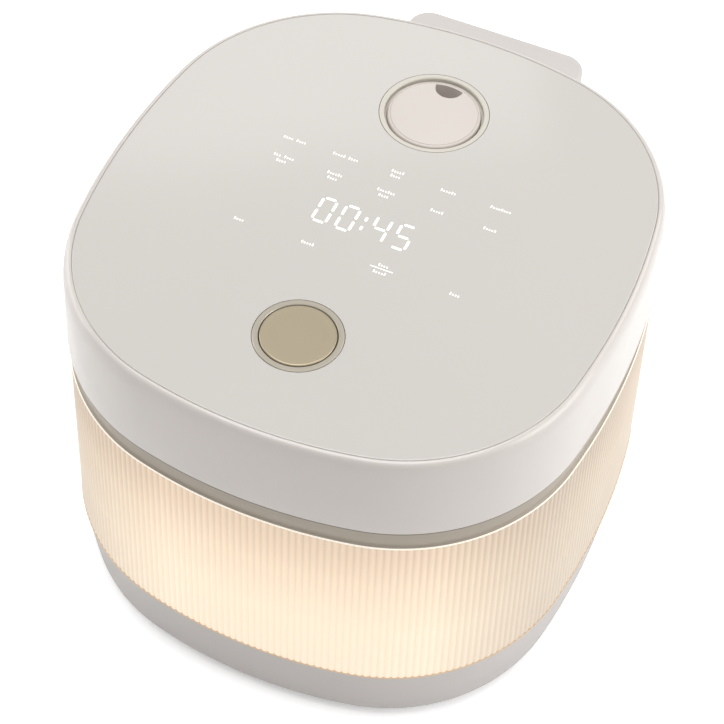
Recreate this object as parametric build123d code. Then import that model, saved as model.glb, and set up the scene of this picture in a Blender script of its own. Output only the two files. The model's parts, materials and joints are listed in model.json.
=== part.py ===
from build123d import *
import math
import os

# Rice cooker with a hinged lid and a lit, ribbed body. Millimetres, +Z up, the front faces -Y.
# The parts are drawn about the cooking pot's axis, with the table at Z = 0. They are saved with
# the origin on the table, under the middle of the overall box, which the hinge housing extends
# to the rear.

# ---- plan outline of the glass: eight tangent arcs, the same left and right, front and rear ----
GLASS_HALF_WIDTH = 122.2
GLASS_HALF_DEPTH = 129.3
SIDE_RADIUS = 335.5
END_RADIUS = 231.6
CORNER_RADIUS = 87.6

# ---- heights above the table ----
BASE_BOTTOM = 3.0
BASE_TOP = 42.0
PANEL_TOP = 146.4
COLLAR_TOP = 157.3
LID_BOTTOM = 157.8
LID_TOP = 203.8
DECK_BOTTOM = 199.0
GLASS_BOTTOM = 201.4
GLASS_TOP = 204.0

# ---- how far each outer surface stands outside the glass outline ----
BASE_FOOT_OFFSET = 3.0
BASE_TOP_OFFSET = 7.3
PANEL_BOTTOM_OFFSET = 7.7
PANEL_TOP_OFFSET = 5.2
BAND_OFFSET = 4.0
# The lid's wall leans in a little, then rolls over to the glass: (offset, height) from low to high.
LID_WALL_LINE = [(5.6, LID_BOTTOM), (4.6, 190.0), (3.7, 197.5), (2.3, LID_TOP)]

# ---- walls ----
GLASS_GAP = 0.3
BASE_WALL = 2.5
BASE_EDGE_RADIUS = 7.5
PANEL_WALL = 2.2
LID_WALL = 2.4
BAND_WALL = 2.0
FLOOR_TOP = BASE_BOTTOM + BASE_WALL
SHELF_BOTTOM = 38.0
SHELF_TOP = 40.0
SHELF_INNER_OFFSET = -2.0
REFLECTOR_OFFSET = 0.6
REFLECTOR_WALL = 1.5
BAND_LIP_TOP = PANEL_TOP + 1.5
COLLAR_BOTTOM = 153.0
COLLAR_LEDGE = 155.3

# ---- pot and hot plate ----
POT_RADIUS = 101.0
POT_WALL = 1.5
POT_BOTTOM = 39.0
POT_FLANGE_RADIUS = 107.3
POT_FLANGE_TOP = COLLAR_LEDGE + 1.5
POT_CORNER = 17.0
LINER_RADIUS = 104.0
LINER_WALL = 0.8
LINER_BOTTOM = 33.0
PLATE_RADIUS = 90.0
PLATE_BOTTOM = 31.0
ELEMENT_RADIUS = 62.0
SUPPORT_CIRCLE = 78.0
SUPPORT_ANGLES = [90, 210, 330]
PROBE_RADIUS = 14.0
PROBE_CAP_BOTTOM = POT_BOTTOM - 6.0
STRAP_BOTTOM = 17.0
STRAP_TOP = 18.2

# ---- hinge at the rear ----
HINGE_Y = 147.0
HINGE_Z = 166.0
BARREL_RADIUS = 12.0
HOUSING_HALF_WIDTH = 46.5
HOUSING_REAR = 167.0
HOUSING_WALL = 2.4
LUG_INNER_X = 20.0
LUG_OUTER_X = 32.0
LUG_HALF_THICKNESS = 6.0
LUG_GAP = 0.7
ARM_ROOT_Y = 120.0
PIN_RADIUS = 2.5
RUNNING_FIT = 0.05

# ---- release button and latch at the front of the lid ----
BUTTON_Y = -76.1
BEZEL_RADIUS = 20.1
BUTTON_RADIUS = 17.0
BUTTON_TOP = 204.4
BUTTON_UNDERSIDE = 200.4
CUP_BOTTOM = 188.0
CUP_FLOOR = 190.0
LATCH_Y = -117.0
LATCH_Z = 176.0
LATCH_PIN_RADIUS = 1.5
HOOK_HALF_WIDTH = 7.0
HOOK_BOTTOM = 148.2
STEM_BOTTOM = 180.0

# ---- steam vent ----
VENT_Y = 74.4
VENT_RADIUS = 25.9
CAP_RADIUS = 22.2
CAP_TOP = 203.5
CAP_PLATE_BOTTOM = 198.8
CAP_RIM_RADIUS = 20.7
NOTCH_RADIUS = 7.5
NOTCH_Y = VENT_Y + 21.6
NOTCH_FLOOR = 200.2
TUBE_RADIUS = 12.0

# ---- inside the lid ----
LID_BASE_BOTTOM = 158.2
LID_BASE_TOP = 160.0
DISH_RADIUS = 107.0
DISH_TOP = 163.0
INNER_LID_TOP = 160.0
INNER_LID_RADIUS = 98.0
LID_BOSS_X = 82.0
LID_BOSS_Y = 88.0
LID_SCREW_SEAT = 161.2
LID_SCREW_TIP = 174.0
BOARD_TOP = 187.6
BOARD_THICKNESS = 1.6
BOARD_POSTS = [(-62, -33), (62, -33), (-62, 37), (62, 37)]
KEY_COLUMNS = [-51.5, -25.7, 0.0, 25.7, 51.5]
KEY_ROWS = [30.0, 16.5]
LOWER_KEYS = [-53.0, -19.0, 17.0, 52.0]
LOWER_KEY_Y = -26.0

# ---- base electrics ----
POWER_BOARD_TOP = 11.1
POWER_POSTS = [(-46, -56), (46, -56), (-46, -14), (46, -14)]
SOCKET_Z = 21.0
SOCKET_FACE_Y = 133.6
SOCKET_HALF_WIDTH = 14.0
SOCKET_HALF_HEIGHT = 10.0
SOCKET_DEPTH = 25.0
SOCKET_RECESS_DEPTH = 18.0
SOCKET_WALL = 1.8
SOCKET_PAD_HALF_WIDTH = 19.0
SOCKET_PAD_HALF_HEIGHT = 12.0
COOLING_SLOT_PITCH = 8.0
COOLING_SLOT_WIDTH = 3.0
LED_COUNT = 96

# ---- screws ----
HEAD_HEIGHT = 1.8

# ---- feet ----
FOOT_X = 74.0
FOOT_Y = 80.0
FOOT_RADIUS = 9.0

# The overall box runs from the panel's foot at the front to the hinge housing at the rear.
MIDDLE_Y = (HOUSING_REAR - GLASS_HALF_DEPTH - PANEL_BOTTOM_OFFSET) / 2

ROUND_CORNERS = [(1, 1), (-1, 1), (-1, -1), (1, -1)]


# ---------------------------------------------------------------- helpers
def corner_centre():
    """Centre of the corner arc, which touches the side arc and the end arc from inside."""
    side_x = GLASS_HALF_WIDTH - SIDE_RADIUS
    end_y = GLASS_HALF_DEPTH - END_RADIUS
    to_side = SIDE_RADIUS - CORNER_RADIUS
    to_end = END_RADIUS - CORNER_RADIUS
    apart = math.hypot(side_x, end_y)
    along = (to_side**2 - to_end**2 + apart**2) / (2 * apart)
    across = math.sqrt(to_side**2 - along**2)
    step_x, step_y = -side_x / apart, end_y / apart
    return side_x + along * step_x - across * step_y, along * step_y + across * step_x


def outline(offset):
    """The plan outline, moved outwards by offset."""
    centre_x, centre_y = corner_centre()
    side_angle = math.atan2(centre_y, centre_x - (GLASS_HALF_WIDTH - SIDE_RADIUS))
    end_angle = math.atan2(centre_y - (GLASS_HALF_DEPTH - END_RADIUS), centre_x)
    middle = (side_angle + end_angle) / 2
    radius = CORNER_RADIUS + offset
    side, bend, end = [
        (centre_x + radius * math.cos(angle), centre_y + radius * math.sin(angle))
        for angle in (side_angle, middle, end_angle)
    ]

    def at(point, quarter):
        return point[0] * quarter[0], point[1] * quarter[1]

    edges = []
    for quarter in ROUND_CORNERS:
        edges.append(ThreePointArc(at(side, quarter), at(bend, quarter), at(end, quarter)))
    for sign in (1, -1):
        half_width = sign * (GLASS_HALF_WIDTH + offset)
        half_depth = sign * (GLASS_HALF_DEPTH + offset)
        edges.append(ThreePointArc(at(side, (sign, -1)), (half_width, 0), at(side, (sign, 1))))
        edges.append(ThreePointArc(at(end, (-1, sign)), (0, half_depth), at(end, (1, sign))))
    return Wire(edges)


def slab(offset, low, high):
    """A plate of the plan outline with upright sides."""
    return extrude(Pos(0, 0, low) * Face(outline(offset)), high - low)


def tapered(low_offset, low, high_offset, high):
    """A block of the plan outline whose sides lean evenly from one offset to another."""
    faces = [Pos(0, 0, low) * Face(outline(low_offset)), Pos(0, 0, high) * Face(outline(high_offset))]
    return loft(faces, ruled=True)


def rod(radius, low, high, x=0.0, y=0.0):
    return Pos(x, y, (low + high) / 2) * Cylinder(radius, high - low)


def tube(outer, inner, low, high, x=0.0, y=0.0):
    return rod(outer, low, high, x, y) - rod(inner, low - 1, high + 1, x, y)


def cross_rod(radius, half_length, y, z):
    """A rod that lies along X."""
    return Pos(0, y, z) * Rot(0, 90, 0) * Cylinder(radius, 2 * half_length)


def block(x_low, x_high, y_low, y_high, z_low, z_high):
    centre = ((x_low + x_high) / 2, (y_low + y_high) / 2, (z_low + z_high) / 2)
    return Pos(*centre) * Box(x_high - x_low, y_high - y_low, z_high - z_low)


def side_prism(sketch, x_low, x_high):
    """A sketch drawn as (y, z) and pulled along X."""
    side_view = Plane(origin=(x_low, 0, 0), x_dir=(0, 1, 0), z_dir=(1, 0, 0))
    return extrude(side_view * sketch, x_high - x_low)


def turned(points, y=0.0):
    """A closed outline of (radius, z) points turned about an upright axis."""
    return Pos(0, y, 0) * revolve(make_face(Plane.XZ * Polyline(points, close=True)), Axis.Z)


def coil_spring(radius, wire, low, high, turns, place=Pos(0, 0, 0)):
    """A round-wire spring between two heights."""
    height = high - low - 2 * wire
    path = Helix(height / turns, height, radius, center=(0, 0, low + wire))
    section = Plane(origin=path @ 0, z_dir=path % 0) * Circle(wire)
    return place * sweep(section, path=path, is_frenet=True)


def group(shapes):
    """Separate solids that are saved as one part."""
    return Compound(list(shapes))


def screw(x, y, head_bottom, tip, head_radius=3.0, shank_radius=1.5):
    """A screw driven upwards, with a slot in its head."""
    head_top = head_bottom + HEAD_HEIGHT
    head = rod(head_radius, head_bottom, head_top, x, y)
    slot = block(x - 2, x + 2, y - 0.4, y + 0.4, head_bottom - 1, head_bottom + 0.8)
    return head - slot + rod(shank_radius, head_top, tip, x, y)


def save(node, shape):
    export_step(Pos(0, -MIDDLE_Y, 0) * shape, "parts/" + node + ".step")


# ---------------------------------------------------------------- base
def base_outer(shrink):
    return tapered(BASE_FOOT_OFFSET - shrink, BASE_BOTTOM + shrink, BASE_TOP_OFFSET - shrink, BASE_TOP)


def bottom_edges(shape):
    return shape.faces().sort_by(Axis.Z)[0].edges()


def socket_block(half_width, half_height, y_low, y_high):
    """A block centred on the mains inlet, as seen from behind."""
    return block(-half_width, half_width, y_low, y_high, SOCKET_Z - half_height, SOCKET_Z + half_height)


def base_housing():
    outer = base_outer(0)
    outer = fillet(bottom_edges(outer), BASE_EDGE_RADIUS)
    inner = base_outer(BASE_WALL)
    inner = fillet(bottom_edges(inner), BASE_EDGE_RADIUS - BASE_WALL)
    shell = outer - inner
    shelf = slab(BASE_TOP_OFFSET - 1.5, SHELF_BOTTOM, SHELF_TOP) - slab(SHELF_INNER_OFFSET, 30, 50)
    shell += shelf & tapered(BASE_FOOT_OFFSET - 1, BASE_BOTTOM, BASE_TOP_OFFSET - 1, BASE_TOP)
    pad = (SOCKET_PAD_HALF_WIDTH, SOCKET_PAD_HALF_HEIGHT)
    shell += socket_block(*pad, SOCKET_FACE_Y - 5, SOCKET_FACE_Y)
    shell -= socket_block(*pad, SOCKET_FACE_Y, SOCKET_FACE_Y + 8)
    shell -= socket_block(SOCKET_HALF_WIDTH, SOCKET_HALF_HEIGHT, SOCKET_FACE_Y - 8, SOCKET_FACE_Y + 8)
    for x, y in POWER_POSTS:
        shell += rod(3.5, FLOOR_TOP, POWER_BOARD_TOP - BOARD_THICKNESS, x, y)
        shell -= rod(1.2, BASE_BOTTOM + 1.5, POWER_BOARD_TOP, x, y)
    for angle in SUPPORT_ANGLES:
        x, y = support_place(angle)
        shell -= rod(3.2, BASE_BOTTOM - 1, BASE_BOTTOM + HEAD_HEIGHT, x, y)
        shell -= rod(1.5, BASE_BOTTOM, FLOOR_TOP + 1, x, y)
    for step in range(-3, 4):
        left = step * COOLING_SLOT_PITCH - COOLING_SLOT_WIDTH / 2
        shell -= block(left, left + COOLING_SLOT_WIDTH, 20, 60, BASE_BOTTOM - 1, FLOOR_TOP + 1)
    return shell


def support_place(angle):
    turn = math.radians(angle)
    return SUPPORT_CIRCLE * math.cos(turn), SUPPORT_CIRCLE * math.sin(turn)


def feet():
    pads = []
    for sign_x, sign_y in ROUND_CORNERS:
        pad = rod(FOOT_RADIUS, 0, BASE_BOTTOM, sign_x * FOOT_X, sign_y * FOOT_Y)
        pads.append(chamfer(bottom_edges(pad), 0.8))
    return group(pads)


def support_screws():
    return group([screw(*support_place(a), BASE_BOTTOM, 18.0) for a in SUPPORT_ANGLES])


def plate_supports():
    posts = []
    for angle in SUPPORT_ANGLES:
        x, y = support_place(angle)
        post = rod(5.0, FLOOR_TOP, PLATE_BOTTOM, x, y)
        posts.append(post - rod(1.5, FLOOR_TOP - 1, 18.0, x, y))
    return group(posts)


def inlet_socket():
    body = socket_block(
        SOCKET_HALF_WIDTH, SOCKET_HALF_HEIGHT, SOCKET_FACE_Y - SOCKET_DEPTH, SOCKET_FACE_Y
    )
    recess = socket_block(
        SOCKET_HALF_WIDTH - SOCKET_WALL, SOCKET_HALF_HEIGHT - SOCKET_WALL,
        SOCKET_FACE_Y - SOCKET_RECESS_DEPTH, SOCKET_FACE_Y + 1,
    )
    top_corners = recess.edges().filter_by(Axis.Y).group_by(Axis.Z)[-1]
    return body - chamfer(top_corners, 4.0)


def inlet_pins():
    pins = []
    recess_end = SOCKET_FACE_Y - SOCKET_RECESS_DEPTH
    for x, z in [(-7.0, SOCKET_Z - 2), (7.0, SOCKET_Z - 2), (0.0, SOCKET_Z + 2)]:
        pins.append(block(x - 1, x + 1, recess_end, SOCKET_FACE_Y - 5.2, z - 2, z + 2))
    return group(pins)


def power_board():
    board = block(-52, 52, -62, -8, POWER_BOARD_TOP - BOARD_THICKNESS, POWER_BOARD_TOP)
    for x, y in POWER_POSTS:
        board -= rod(1.6, 0, 20, x, y)
    return board


def board_screws(posts, head_bottom, tip, upside_down):
    made = []
    for x, y in posts:
        one = screw(0, 0, 0, abs(tip - head_bottom), 2.6, 1.2)
        turn = Rot(180, 0, 0) if upside_down else Rot(0, 0, 0)
        made.append(Pos(x, y, head_bottom) * turn * one)
    return group(made)


def transformer():
    core = block(-36, -10, -46, -22, POWER_BOARD_TOP, POWER_BOARD_TOP + 13)
    winding = block(-31, -15, -49, -19, POWER_BOARD_TOP + 2, POWER_BOARD_TOP + 12)
    return core + winding


def relay():
    return fillet(block(2, 30, -54, -42, POWER_BOARD_TOP, POWER_BOARD_TOP + 13).edges(), 0.6)


def capacitors():
    cans = [rod(5, POWER_BOARD_TOP, POWER_BOARD_TOP + 13, x, -28) for x in (8, 20)]
    film = block(28, 41, -34, -24, POWER_BOARD_TOP, POWER_BOARD_TOP + 11)
    return group(cans + [fillet(film.edges(), 0.8)])


# ---------------------------------------------------------------- lit body wall
def rear_gap(low, high, half_width=HOUSING_HALF_WIDTH):
    return block(-half_width, half_width, 60, 200, low, high)


def panel_offset(z):
    share = (z - BASE_TOP) / (PANEL_TOP - BASE_TOP)
    return PANEL_BOTTOM_OFFSET + share * (PANEL_TOP_OFFSET - PANEL_BOTTOM_OFFSET)


def body_taper(shrink, low, high):
    return tapered(panel_offset(low) - shrink, low, panel_offset(high) - shrink, high)


def side_panel():
    wall = body_taper(0, BASE_TOP, PANEL_TOP) - body_taper(PANEL_WALL, BASE_TOP - 1, PANEL_TOP + 1)
    return wall - rear_gap(BASE_TOP - 1, PANEL_TOP + 1)


def light_reflector():
    inner = slab(REFLECTOR_OFFSET - REFLECTOR_WALL, SHELF_TOP - 1, PANEL_TOP + 1)
    return slab(REFLECTOR_OFFSET, SHELF_TOP, PANEL_TOP) - inner


def led_board():
    ring = slab(4.4, SHELF_TOP, SHELF_TOP + 1.2) - slab(1.0, SHELF_TOP - 1, SHELF_TOP + 3)
    return ring - rear_gap(SHELF_TOP - 1, SHELF_TOP + 3)


def leds():
    """Small lamps evenly round the board, left out where the hinge housing stands."""
    path = outline(2.7)
    lamps = []
    for step in range(LED_COUNT):
        place = path.location_at((step + 0.5) / LED_COUNT)
        spot = place.position
        if spot.Y > 0 and abs(spot.X) < HOUSING_HALF_WIDTH + 3:
            continue
        heading = path.tangent_at((step + 0.5) / LED_COUNT)
        turn = math.degrees(math.atan2(heading.Y, heading.X))
        lamps.append(Pos(spot.X, spot.Y, SHELF_TOP + 1.75) * Rot(0, 0, turn) * Box(2.8, 1.6, 1.1))
    return group(lamps)


def trim_band():
    ring = slab(BAND_OFFSET, PANEL_TOP, COLLAR_TOP) - slab(BAND_OFFSET - BAND_WALL, BAND_LIP_TOP, 170)
    return ring - slab(REFLECTOR_OFFSET - REFLECTOR_WALL, PANEL_TOP - 1, 170)


def top_collar():
    deck = slab(BAND_OFFSET - BAND_WALL, COLLAR_BOTTOM, COLLAR_TOP)
    deck -= rod(LINER_RADIUS, 150, 160)
    deck -= rod(POT_FLANGE_RADIUS + 0.7, COLLAR_LEDGE, 160)
    return deck - block(-10, 10, LATCH_Y - 5, LATCH_Y + 4, 150, 160)


def latch_keeper():
    """A steel strip under the collar, whose lower lip the latch hook pulls against."""
    y = LATCH_Y + 4
    plate = block(-9, 9, y, y + 1.5, COLLAR_BOTTOM - 4, COLLAR_BOTTOM)
    return plate + block(-9, 9, y, y + 3.5, COLLAR_BOTTOM - 1.2, COLLAR_BOTTOM)


# ---------------------------------------------------------------- pot well
def pot_well_liner():
    radius = LINER_RADIUS + LINER_WALL
    floor_top = LINER_BOTTOM + LINER_WALL
    return turned([
        (PLATE_RADIUS + 3, LINER_BOTTOM), (radius, LINER_BOTTOM), (radius, COLLAR_BOTTOM - LINER_WALL),
        (radius + 3, COLLAR_BOTTOM - LINER_WALL), (radius + 3, COLLAR_BOTTOM),
        (LINER_RADIUS, COLLAR_BOTTOM), (LINER_RADIUS, floor_top), (PLATE_RADIUS + 3, floor_top),
    ])


def inner_pot():
    outer = rod(POT_RADIUS, POT_BOTTOM, COLLAR_LEDGE)
    outer = fillet(bottom_edges(outer), POT_CORNER)
    inner = rod(POT_RADIUS - POT_WALL, POT_BOTTOM + POT_WALL, COLLAR_LEDGE + 10)
    inner = fillet(bottom_edges(inner), POT_CORNER - POT_WALL)
    rim = rod(POT_FLANGE_RADIUS, COLLAR_LEDGE, POT_FLANGE_TOP)
    return outer + rim - inner


def heating_plate():
    plate = rod(PLATE_RADIUS, PLATE_BOTTOM, POT_BOTTOM)
    plate = fillet(plate.faces().sort_by(Axis.Z)[-1].edges(), 6.0)
    return plate - rod(PROBE_RADIUS + 1.5, 20, 60)


def heating_element():
    ring = tube(ELEMENT_RADIUS + 3.5, ELEMENT_RADIUS - 3.5, PLATE_BOTTOM - 6, PLATE_BOTTOM)
    ring -= block(-7, 7, -80, -40, 0, 60)
    for x in (-10, 10):
        ring += rod(2.0, PLATE_BOTTOM - 12, PLATE_BOTTOM - 5, x, -ELEMENT_RADIUS + 0.7)
    return ring


def thermal_fuse():
    return Pos(0, 38, PLATE_BOTTOM - 2.5) * Rot(0, 90, 0) * Cylinder(2.4, 15)


def sensor_probe():
    cap = rod(PROBE_RADIUS, PROBE_CAP_BOTTOM, POT_BOTTOM - 0.1)
    return fillet(cap.faces().sort_by(Axis.Z)[-1].edges(), 1.5) + rod(5.0, 15.5, PROBE_CAP_BOTTOM)


def sensor_bracket():
    sheet = STRAP_TOP - STRAP_BOTTOM
    strap = block(-30, 30, -8, 8, STRAP_BOTTOM, STRAP_TOP) - rod(5.2, 0, 40)
    for x in (-30, 30 - sheet):
        strap += block(x, x + sheet, -8, 8, STRAP_BOTTOM, PLATE_BOTTOM)
    return strap


def sensor_spring():
    return coil_spring(8.0, 0.6, STRAP_TOP, PROBE_CAP_BOTTOM, 5)


# ---------------------------------------------------------------- hinge housing
def housing_plan(shrink, low, high):
    """The housing seen from above: straight sides and rounded rear corners."""
    half_width = HOUSING_HALF_WIDTH - shrink
    plate = block(-half_width, half_width, 60, HOUSING_REAR - shrink, low, high)
    corners = plate.edges().filter_by(Axis.Z).group_by(Axis.Y)[-1]
    return fillet(corners, 11.0 - shrink)


def housing_profile(shrink):
    """The housing seen from the side: a barrel round the pin and a back that slopes in below."""
    top = HINGE_Z + BARREL_RADIUS - shrink
    rear = HOUSING_REAR - shrink
    front = HINGE_Y - BARREL_RADIUS + shrink
    points = [
        (100, 54 + shrink), (124, 54 + shrink), (rear, 124 + shrink / 2), (rear, top), (HINGE_Y, top),
        (front, HINGE_Z), (front, COLLAR_TOP), (100, COLLAR_TOP),
    ]
    slope = make_face(Polyline(points, close=True))
    return side_prism(slope, -60, 60) + cross_rod(BARREL_RADIUS - shrink, 60, HINGE_Y, HINGE_Z)


def housing_solid(shrink):
    lobe = housing_plan(shrink, 40, 190) & housing_profile(shrink)
    half_width = HOUSING_HALF_WIDTH - shrink
    strip = body_taper(shrink, BASE_TOP + shrink, PANEL_TOP)
    return lobe + (strip & block(-half_width, half_width, 60, 200, 30, 160))


def rear_cover():
    outer = housing_solid(0)
    top_rim = outer.faces().sort_by(Axis.Z)[-1].edges().sort_by(Axis.Y)[-3:]
    outer = fillet(top_rim, 2.0)
    cover = outer - housing_solid(HOUSING_WALL)
    cover -= slab(REFLECTOR_OFFSET, 30, PANEL_TOP)
    cover -= slab(BAND_OFFSET, PANEL_TOP, COLLAR_TOP)
    slot_inner = LUG_INNER_X - LUG_GAP
    slot_outer = LUG_OUTER_X + LUG_GAP
    slot_rear = HINGE_Y + LUG_HALF_THICKNESS + 0.5
    for x in (-slot_outer, slot_inner):
        cover -= block(x, x + slot_outer - slot_inner, 120, slot_rear, HINGE_Z - 6.7, 190)
    return cover


def hinge_bracket():
    back = block(-37, 37, 160, 162, 126, 172)
    for x in (-37, -17, 15, 35):
        back += block(x, x + 2, 141, 160, 152, 172)
    return back - cross_rod(PIN_RADIUS, 60, HINGE_Y, HINGE_Z)


def hinge_pin():
    return chamfer(cross_rod(PIN_RADIUS, 41, HINGE_Y, HINGE_Z).edges().filter_by(GeomType.CIRCLE), 0.4)


def hinge_spring():
    upright = coil_spring(4.6, 0.8, -12.5, 12.5, 9)
    return Pos(0, HINGE_Y, HINGE_Z) * Rot(0, 90, 0) * upright


# ---------------------------------------------------------------- lid
def lid_offset(height):
    """How far the lowest stretch of the lid's wall stands out at a height."""
    (low_offset, low), (high_offset, high) = LID_WALL_LINE[:2]
    return low_offset + (height - low) / (high - low) * (high_offset - low_offset)


def lid_outer():
    solid = None
    for (low_offset, low), (high_offset, high) in zip(LID_WALL_LINE, LID_WALL_LINE[1:]):
        stretch = tapered(low_offset, low, high_offset, high)
        solid = stretch if solid is None else solid + stretch
    solid = fillet(solid.faces().sort_by(Axis.Z)[-1].edges(), 2.0)
    return fillet(bottom_edges(solid), 1.0)


def lid_shell():
    below = LID_BOTTOM - 1
    inner_top = LID_WALL_LINE[2][0] - LID_WALL - 0.3
    shell = lid_outer() - tapered(lid_offset(below) - LID_WALL, below, inner_top, DECK_BOTTOM)
    shell -= slab(0.1, GLASS_BOTTOM, GLASS_TOP + 5)
    shell -= rod(BEZEL_RADIUS + 0.2, 190, 210, 0, BUTTON_Y)
    shell -= rod(VENT_RADIUS + 0.2, 190, 210, 0, VENT_Y)
    shell -= block(-58, 58, -33, 37, DECK_BOTTOM - 1, GLASS_BOTTOM + 1)
    for sign_x, sign_y in ROUND_CORNERS:
        shell += rod(4.5, DISH_TOP, DECK_BOTTOM, sign_x * LID_BOSS_X, sign_y * LID_BOSS_Y)
        shell -= rod(1.5, DISH_TOP - 1, LID_SCREW_TIP + 1, sign_x * LID_BOSS_X, sign_y * LID_BOSS_Y)
    for x, y in BOARD_POSTS:
        shell += rod(3.0, BOARD_TOP, DECK_BOTTOM, x, y)
        shell -= rod(1.2, BOARD_TOP - 1, BOARD_TOP + 8, x, y)
    for arm in lid_arm_blanks():
        shell -= arm
    return shell


def lid_arm_blanks():
    """Two arms that pass through the rear wall of the lid and end round the hinge pin."""
    arms = []
    for x in (-LUG_OUTER_X, LUG_INNER_X):
        width = LUG_OUTER_X - LUG_INNER_X
        low = HINGE_Z - LUG_HALF_THICKNESS
        high = HINGE_Z + LUG_HALF_THICKNESS
        arm = block(x, x + width, ARM_ROOT_Y, HINGE_Y, low, high)
        end = Pos(x + width / 2, HINGE_Y, HINGE_Z) * Rot(0, 90, 0) * Cylinder(LUG_HALF_THICKNESS, width)
        arms.append(arm + end)
    return arms


def lid_arms():
    """The hinge arms, each with a foot that stands on the lid base inside the casing."""
    arms = []
    for arm in lid_arm_blanks():
        middle = arm.center().X
        foot = block(
            middle - 9, middle + 9, ARM_ROOT_Y - 11, ARM_ROOT_Y + 4, LID_BASE_TOP, LID_BASE_TOP + 3
        )
        arms.append(arm + foot - cross_rod(PIN_RADIUS + RUNNING_FIT, 60, HINGE_Y, HINGE_Z))
    return group(arms)


def glass_top():
    glass = slab(0.0, GLASS_BOTTOM, GLASS_TOP)
    glass = fillet(glass.faces().sort_by(Axis.Z)[-1].edges(), 0.6)
    glass -= rod(BEZEL_RADIUS + GLASS_GAP, 190, 210, 0, BUTTON_Y)
    return glass - rod(VENT_RADIUS + GLASS_GAP, 190, 210, 0, VENT_Y)


def lid_base():
    gap = LID_WALL + 0.25
    low_edge = lid_offset(LID_BASE_BOTTOM) - gap
    plate = tapered(low_edge, LID_BASE_BOTTOM, lid_offset(LID_BASE_TOP) - gap, LID_BASE_TOP)
    plate += rod(DISH_RADIUS, LID_BASE_TOP, DISH_TOP)
    plate -= rod(DISH_RADIUS - 1.5, 150, DISH_TOP - 1.5)
    plate -= rod(TUBE_RADIUS + 0.2, 150, 170, 0, VENT_Y)
    plate -= block(-8, 8, LATCH_Y - 6, LATCH_Y + 5.5, 150, 170)
    for x in (-11, 8):
        plate += block(x, x + 3, LATCH_Y - 3.5, LATCH_Y + 3.5, LID_BASE_TOP, LATCH_Z + 4)
    plate -= cross_rod(LATCH_PIN_RADIUS, 20, LATCH_Y, LATCH_Z)
    for sign_x, sign_y in ROUND_CORNERS:
        x, y = sign_x * LID_BOSS_X, sign_y * LID_BOSS_Y
        plate += rod(5.0, LID_BASE_TOP, DISH_TOP, x, y)
        plate -= rod(3.3, 150, LID_SCREW_SEAT, x, y) + rod(1.6, 150, 170, x, y)
    return plate


def lid_screws():
    places = [(x * LID_BOSS_X, y * LID_BOSS_Y) for x, y in ROUND_CORNERS]
    return group([screw(x, y, LID_SCREW_SEAT - HEAD_HEIGHT, LID_SCREW_TIP) for x, y in places])


def inner_lid_plate():
    plate = rod(INNER_LID_RADIUS, INNER_LID_TOP - 1.2, INNER_LID_TOP)
    for angle in range(0, 360, 60):
        turn = math.radians(angle)
        plate -= rod(1.6, 150, 170, 6 * math.cos(turn), VENT_Y + 6 * math.sin(turn))
    return plate - rod(1.6, 150, 170, 0, VENT_Y)


def inner_lid_clip():
    clip = block(-9, 9, -INNER_LID_RADIUS - 3.6, -INNER_LID_RADIUS + 7, 157.9, INNER_LID_TOP - 1.2)
    return fillet(clip.edges().filter_by(Axis.Z), 2.0)


def pot_gasket():
    inner = INNER_LID_RADIUS
    outer = DISH_RADIUS - 1.7
    ring = tube(outer, inner, INNER_LID_TOP - 1.5, DISH_TOP - 1.6)
    ring += tube(outer, outer - 2.2, POT_FLANGE_TOP + 0.35, INNER_LID_TOP)
    return ring - block(-9.2, 9.2, -120, -INNER_LID_RADIUS + 8, 150, INNER_LID_TOP - 1.1)


# ---------------------------------------------------------------- steam vent
def vent_seat():
    """A cup in the glass with a flared rim, and the steam tube below it."""
    return turned([
        (TUBE_RADIUS - 2.0, LID_BASE_TOP + 2.9), (TUBE_RADIUS, LID_BASE_TOP + 2.9),
        (TUBE_RADIUS, CUP_BOTTOM), (VENT_RADIUS, CUP_BOTTOM), (VENT_RADIUS, GLASS_TOP),
        (23.9, GLASS_TOP), (23.5, GLASS_TOP - 0.5), (23.3, CUP_FLOOR), (TUBE_RADIUS - 2.0, CUP_FLOOR),
    ], VENT_Y)


def vent_cap():
    """A round plate with a sloping rim, a scoop for a fingertip, and a skirt below."""
    top = turned([
        (0, CAP_PLATE_BOTTOM), (CAP_RADIUS, CAP_PLATE_BOTTOM), (CAP_RADIUS, CAP_TOP - 0.8),
        (CAP_RIM_RADIUS, CAP_TOP - 0.1), (CAP_RIM_RADIUS - 0.2, CAP_TOP), (0, CAP_TOP),
    ], VENT_Y)
    top += tube(CAP_RADIUS - 0.6, CAP_RADIUS - 2.4, 191.5, 199, 0, VENT_Y)
    top += tube(15.0, 13.4, 192.5, 199, 0, VENT_Y)
    lens = rod(CAP_RIM_RADIUS - 0.6, NOTCH_FLOOR, 210, 0, VENT_Y)
    top -= lens & rod(NOTCH_RADIUS, NOTCH_FLOOR, 210, 0, NOTCH_Y)
    steam_gap = block(-3, 3, VENT_Y - 30, VENT_Y - 16, 190, 197)
    return top - steam_gap


def cap_seal():
    return tube(13.2, 11.8, 190.2, 196, 0, VENT_Y)


def vent_gasket():
    return tube(TUBE_RADIUS, TUBE_RADIUS - 2.5, INNER_LID_TOP, LID_BASE_TOP + 2.9, 0, VENT_Y)


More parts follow.
